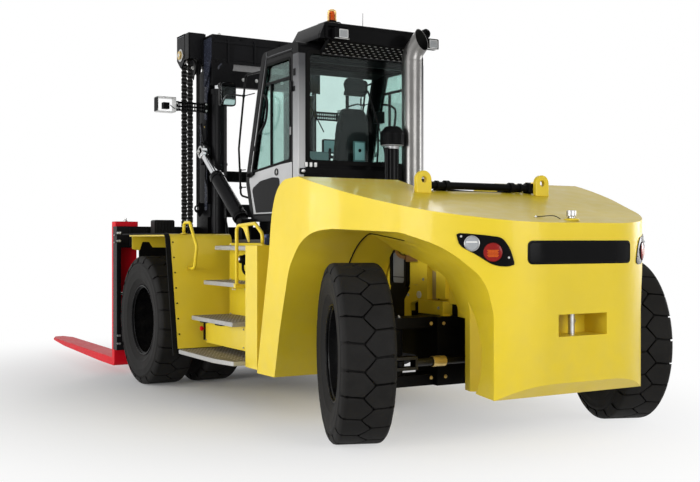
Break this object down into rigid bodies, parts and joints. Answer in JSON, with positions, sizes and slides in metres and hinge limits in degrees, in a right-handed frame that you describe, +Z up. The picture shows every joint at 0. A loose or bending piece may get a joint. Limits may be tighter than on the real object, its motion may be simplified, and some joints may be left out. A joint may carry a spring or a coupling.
{
  "type": "heavy forklift",
  "caption": "Heavy forklift with dual drive wheels, steered rear wheels, a tilting two-stage mast, sliding forks, a glazed cab and a rear counterweight.",
  "frame": {"origin": "on the floor, at the middle of the bounding box seen from above", "axes": "+Z up, +Y towards the counterweight, forks towards -Y, +X to the operator's left"},
  "size_m": [3.9906, 10.69, 4.6998],
  "materials": {
    "body_yellow": "gloss",
    "frame_black": "satin",
    "fork_red": "satin",
    "cab_black": "gloss",
    "cab_glass": "clear",
    "galvanised": "matte",
    "rod_chrome": "polished",
    "stack_steel": "satin",
    "tyre_rubber": "matte",
    "soft_rubber": "matte",
    "rim_black": "gloss",
    "black_plastic": "matte",
    "seat_cloth": "matte",
    "engine_grey": "matte",
    "lamp_grey": "gloss"
  },
  "bodies": {
    "chassis": {"chassis_frame": "body_yellow", "mast_pivot_shaft": "rod_chrome", "tilt_cylinder_clevises": "frame_black", "drive_axle": "frame_black", "steer_axle": "frame_black", "engine_block": "engine_grey", "counterweight": "body_yellow", "rear_fenders": "body_yellow", "lifting_eyes": "body_yellow", "tow_pin": "rod_chrome", "front_fenders": "body_yellow", "mudguards": "soft_rubber", "step_housings": "body_yellow", "steps": "galvanised", "handrails": "body_yellow", "deck_plate": "frame_black", "head_lamps": "black_plastic", "cab_shell": "cab_black", "cab_windows": "cab_glass", "roof_visor": "cab_black", "roof_lights": "lamp_grey", "mirrors": "black_plastic", "seat_frame": "black_plastic", "seat_cushion": "seat_cloth", "seat_backrest": "seat_cloth", "dashboard": "black_plastic", "hood_hinge_tube": "frame_black", "exhaust_stack": "stack_steel", "air_cleaner": "black_plastic"},
    "steering_wheel": {"steering_wheel": "black_plastic"},
    "engine_hood": {"engine_hood": "body_yellow"},
    "left_door": {"left_door": "cab_black", "left_door_glass": "cab_glass"},
    "right_door": {"right_door": "cab_black", "right_door_glass": "cab_glass"},
    "outer_mast": {"outer_mast": "frame_black", "lift_cylinders": "frame_black", "mast_lamps": "lamp_grey", "rear_chain_legs": "frame_black"},
    "inner_mast": {"inner_mast": "frame_black", "lift_rods": "rod_chrome", "chain_sheaves": "galvanised"},
    "carriage": {"carriage": "frame_black", "front_chain_legs": "frame_black"},
    "left_fork": {"left_fork": "fork_red"},
    "right_fork": {"right_fork": "fork_red"},
    "tilt_barrels": {"tilt_barrels": "frame_black"},
    "tilt_rods": {"tilt_rods": "rod_chrome"},
    "left_drive_wheel": {"left_drive_tyres": "tyre_rubber", "left_drive_hub": "rim_black"},
    "right_drive_wheel": {"right_drive_tyres": "tyre_rubber", "right_drive_hub": "rim_black"},
    "left_knuckle": {"left_knuckle": "frame_black"},
    "right_knuckle": {"right_knuckle": "frame_black"},
    "left_steer_wheel": {"left_steer_tyre": "tyre_rubber", "left_steer_hub": "rim_black"},
    "right_steer_wheel": {"right_steer_tyre": "tyre_rubber", "right_steer_hub": "rim_black"},
    "steering_rod": {"steering_rod": "rod_chrome"}
  },
  "joints": [
    {"name": "mast_tilt", "type": "hinge", "parent": "chassis", "child": "outer_mast", "pos_m": [0, -1.135, 0.62], "axis": [1, 0, 0], "range_deg": [-10, 6]},
    {"name": "inner_lift", "type": "slide", "parent": "outer_mast", "child": "inner_mast", "axis": [0, 0, 1], "range_m": [0, 2], "deforming": ["rear_chain_legs"]},
    {"name": "carriage_lift", "type": "slide", "parent": "inner_mast", "child": "carriage", "axis": [0, 0, 1], "range_m": [0, 2], "deforming": ["front_chain_legs"]},
    {"name": "left_fork_slide", "type": "slide", "parent": "carriage", "child": "left_fork", "axis": [1, 0, 0], "range_m": [-1.4, 0]},
    {"name": "right_fork_slide", "type": "slide", "parent": "carriage", "child": "right_fork", "axis": [-1, 0, 0], "range_m": [-1.4, 0]},
    {"name": "tilt_swing", "type": "hinge", "parent": "chassis", "child": "tilt_barrels", "pos_m": [0, 0.255, 2.03], "axis": [1, 0, 0], "range_deg": [-10, 8]},
    {"name": "tilt_stroke", "type": "slide", "parent": "tilt_barrels", "child": "tilt_rods", "axis": [0, -0.809, 0.5878], "range_m": [-0.45, 0.3]},
    {"name": "left_steer", "type": "hinge", "parent": "chassis", "child": "left_knuckle", "pos_m": [1.18, 4.105, 0.815], "axis": [0, 0, 1], "range_deg": [-27.5, 68.5]},
    {"name": "right_steer", "type": "hinge", "parent": "chassis", "child": "right_knuckle", "pos_m": [-1.18, 4.105, 0.815], "axis": [0, 0, 1], "range_deg": [-27.5, 68.5]},
    {"name": "steering_stroke", "type": "slide", "parent": "chassis", "child": "steering_rod", "axis": [1, 0, 0], "range_m": [-0.36, 0.16]},
    {"name": "left_drive_spin", "type": "hinge", "parent": "chassis", "child": "left_drive_wheel", "pos_m": [1.405, -0.595, 0.815], "axis": [1, 0, 0], "continuous": true},
    {"name": "right_drive_spin", "type": "hinge", "parent": "chassis", "child": "right_drive_wheel", "pos_m": [-1.405, -0.595, 0.815], "axis": [1, 0, 0], "continuous": true},
    {"name": "left_steer_spin", "type": "hinge", "parent": "left_knuckle", "child": "left_steer_wheel", "pos_m": [1.50315, 3.98418, 0.815], "axis": [0.9367, -0.3502, 0], "continuous": true},
    {"name": "right_steer_spin", "type": "hinge", "parent": "right_knuckle", "child": "right_steer_wheel", "pos_m": [-1.50315, 4.22582, 0.815], "axis": [0.9367, -0.3502, 0], "continuous": true},
    {"name": "steering_wheel_turn", "type": "hinge", "parent": "chassis", "child": "steering_wheel", "pos_m": [0, 0.63024, 2.87469], "axis": [0, 0.4191, 0.908], "continuous": true},
    {"name": "left_door_swing", "type": "hinge", "parent": "chassis", "child": "left_door", "pos_m": [0.875, 1.509, 3], "axis": [0, 0, 1], "range_deg": [0, 85]},
    {"name": "right_door_swing", "type": "hinge", "parent": "chassis", "child": "right_door", "pos_m": [-0.875, 1.509, 3], "axis": [0, 0, -1], "range_deg": [0, 85]},
    {"name": "engine_hood_lift", "type": "hinge", "parent": "chassis", "child": "engine_hood", "pos_m": [0, 3.875, 2.365], "axis": [-1, 0, 0], "range_deg": [0, 60]}
  ],
  "couplings": [
    {"joint": "carriage_lift", "follows": "inner_lift", "ratio": 1},
    {"joint": "tilt_swing", "follows": "mast_tilt", "ratio": 0.87187},
    {"joint": "tilt_stroke", "follows": "mast_tilt", "m_per_rad": 1.9658},
    {"joint": "right_steer", "follows": "left_steer", "ratio": 1},
    {"joint": "steering_stroke", "follows": "left_steer", "m_per_rad": -0.28386}
  ]
}
